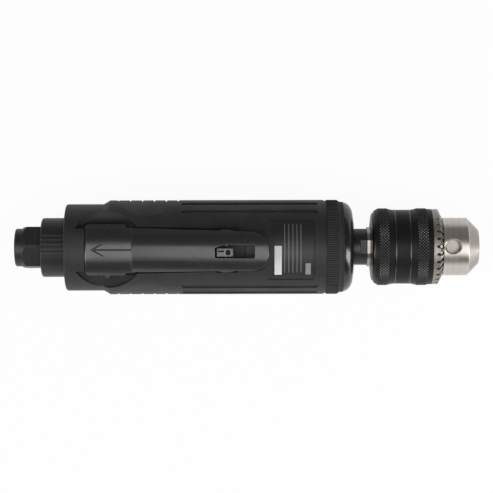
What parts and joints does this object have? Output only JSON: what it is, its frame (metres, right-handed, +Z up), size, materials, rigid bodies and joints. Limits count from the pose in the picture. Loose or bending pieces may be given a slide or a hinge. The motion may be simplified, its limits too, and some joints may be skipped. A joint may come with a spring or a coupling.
{
  "type": "straight air drill",
  "caption": "Straight pneumatic drill with lever throttle and lock, vane motor, planetary reduction, keyed jaw chuck, hexagon air inlet and swivelling rear exhaust deflector.",
  "frame": {"origin": "centre of the air inlet's mouth, on the tool's axis", "axes": "+X along the tool from the air inlet to the chuck, +Z up on the throttle lever's side, +Y to the left seen from the inlet"},
  "size_m": [0.2169, 0.0442, 0.0541],
  "materials": {
    "composite": "satin black moulded composite",
    "grip_rubber": "matte black",
    "black_steel": "black oxide",
    "deflector_plastic": "satin black",
    "lever_plastic": "semi gloss black",
    "cap_black": "gloss black nose, matte ribbed band",
    "sleeve_black": "black oxide, knurled",
    "chuck_steel": "turned steel",
    "bright_steel": "bright",
    "gear_steel": "ground",
    "plate_iron": "machined",
    "vane_plastic": "laminate",
    "brass": "machined",
    "seal_rubber": "matte black",
    "muffler_felt": "felt"
  },
  "bodies": {
    "housing": {"housing": "composite", "grip_left": "grip_rubber", "grip_right": "grip_rubber", "inlet_bushing": "black_steel", "inlet_screen": "brass", "muffler_ring": "muffler_felt", "lever_pin": "bright_steel", "plunger_bush": "brass", "valve_seat": "brass", "valve_spring": "bright_steel", "rear_end_plate": "plate_iron", "motor_cylinder": "gear_steel", "front_end_plate": "plate_iron", "motor_dowel": "bright_steel", "rear_bearing_outer": "bright_steel", "front_bearing_outer": "bright_steel", "ring_gear": "gear_steel", "spindle_bearing_outer": "bright_steel", "bearing_circlip": "bright_steel", "front_cap": "cap_black", "spindle_seal": "seal_rubber"},
    "deflector": {"exhaust_deflector": "deflector_plastic"},
    "lever": {"throttle_lever": "lever_plastic", "lock_pin": "bright_steel", "lock_spring": "bright_steel"},
    "lock": {"lock_lever": "bright_steel"},
    "plunger": {"throttle_plunger": "bright_steel", "plunger_ring": "seal_rubber"},
    "valve": {"tilt_valve": "bright_steel", "valve_seal": "seal_rubber"},
    "rotor": {"rotor": "gear_steel", "vane_1": "vane_plastic", "vane_2": "vane_plastic", "vane_3": "vane_plastic", "vane_4": "vane_plastic", "vane_5": "vane_plastic", "rear_bearing_inner": "bright_steel", "front_bearing_inner": "bright_steel"},
    "spindle": {"spindle": "black_steel", "spindle_bearing_inner": "bright_steel", "planet_pin_1": "bright_steel", "planet_pin_2": "bright_steel", "planet_pin_3": "bright_steel", "chuck_body": "chuck_steel"},
    "planet_1": {"planet_gear_1": "gear_steel"},
    "planet_2": {"planet_gear_2": "gear_steel"},
    "planet_3": {"planet_gear_3": "gear_steel"},
    "chuck_ring": {"chuck_sleeve": "sleeve_black", "key_ring": "chuck_steel", "chuck_nut_half_1": "bright_steel", "chuck_nut_half_2": "bright_steel"},
    "jaw_1": {"chuck_jaw_1": "chuck_steel"},
    "jaw_2": {"chuck_jaw_2": "chuck_steel"},
    "jaw_3": {"chuck_jaw_3": "chuck_steel"}
  },
  "joints": [
    {"name": "deflector_swivel", "type": "hinge", "parent": "housing", "child": "deflector", "pos_m": [0.018, 0, 0], "axis": [1, 0, 0], "continuous": true},
    {"name": "lever_press", "type": "hinge", "parent": "housing", "child": "lever", "pos_m": [0.044, 0, 0.0145], "axis": [0, 1, 0], "range_deg": [0, 4], "stiffness_Nm_per_rad": 1.2, "springref_deg": -6.88},
    {"name": "lock_swing", "type": "hinge", "parent": "lever", "child": "lock", "pos_m": [0.099, 0, 0.02497], "axis": [0, 1, 0], "range_deg": [0, 50.2], "deforming": ["lock_spring"]},
    {"name": "plunger_slide", "type": "slide", "parent": "housing", "child": "plunger", "axis": [0, 0, -1], "range_m": [0, 0.0012]},
    {"name": "valve_tilt", "type": "hinge", "parent": "housing", "child": "valve", "pos_m": [0.04697, 0, 0.0045], "axis": [0, 1, 0], "range_deg": [0, 5.5], "deforming": ["valve_spring"]},
    {"name": "spindle_spin", "type": "hinge", "parent": "housing", "child": "spindle", "pos_m": [0.147, 0, 0], "axis": [1, 0, 0], "continuous": true},
    {"name": "rotor_spin", "type": "hinge", "parent": "housing", "child": "rotor", "pos_m": [0.0965, 0, 0], "axis": [1, 0, 0], "continuous": true},
    {"name": "planet_1_spin", "type": "hinge", "parent": "spindle", "child": "planet_1", "pos_m": [0.1285, 0, 0.00945], "axis": [1, 0, 0], "continuous": true},
    {"name": "planet_2_spin", "type": "hinge", "parent": "spindle", "child": "planet_2", "pos_m": [0.1285, -0.00818, -0.00473], "axis": [1, 0, 0], "continuous": true},
    {"name": "planet_3_spin", "type": "hinge", "parent": "spindle", "child": "planet_3", "pos_m": [0.1285, 0.00818, -0.00473], "axis": [1, 0, 0], "continuous": true},
    {"name": "chuck_turn", "type": "hinge", "parent": "spindle", "child": "chuck_ring", "pos_m": [0.185, 0, 0], "axis": [-1, 0, 0], "range_deg": [0, 3780]},
    {"name": "jaw_1_slide", "type": "slide", "parent": "spindle", "child": "jaw_1", "axis": [0.9563, 0.2424, -0.1635], "range_m": [0, 0.01575]},
    {"name": "jaw_2_slide", "type": "slide", "parent": "spindle", "child": "jaw_2", "axis": [0.9563, 0.0204, 0.2917], "range_m": [0, 0.01575]},
    {"name": "jaw_3_slide", "type": "slide", "parent": "spindle", "child": "jaw_3", "axis": [0.9563, -0.2628, -0.1282], "range_m": [0, 0.01575]}
  ],
  "couplings": [
    {"joint": "lock_swing", "follows": "lever_press", "ratio": 12.5},
    {"joint": "plunger_slide", "follows": "lever_press", "m_per_rad": 0.0166},
    {"joint": "valve_tilt", "follows": "lever_press", "ratio": 1.36},
    {"joint": "rotor_spin", "follows": "spindle_spin", "ratio": 4.5},
    {"joint": "planet_1_spin", "follows": "spindle_spin", "ratio": -2.8},
    {"joint": "planet_2_spin", "follows": "spindle_spin", "ratio": -2.8},
    {"joint": "planet_3_spin", "follows": "spindle_spin", "ratio": -2.8},
    {"joint": "chuck_turn", "follows": "jaw_1_slide", "rad_per_m": 4188.7},
    {"joint": "jaw_2_slide", "follows": "jaw_1_slide", "ratio": 1},
    {"joint": "jaw_3_slide", "follows": "jaw_1_slide", "ratio": 1}
  ]
}
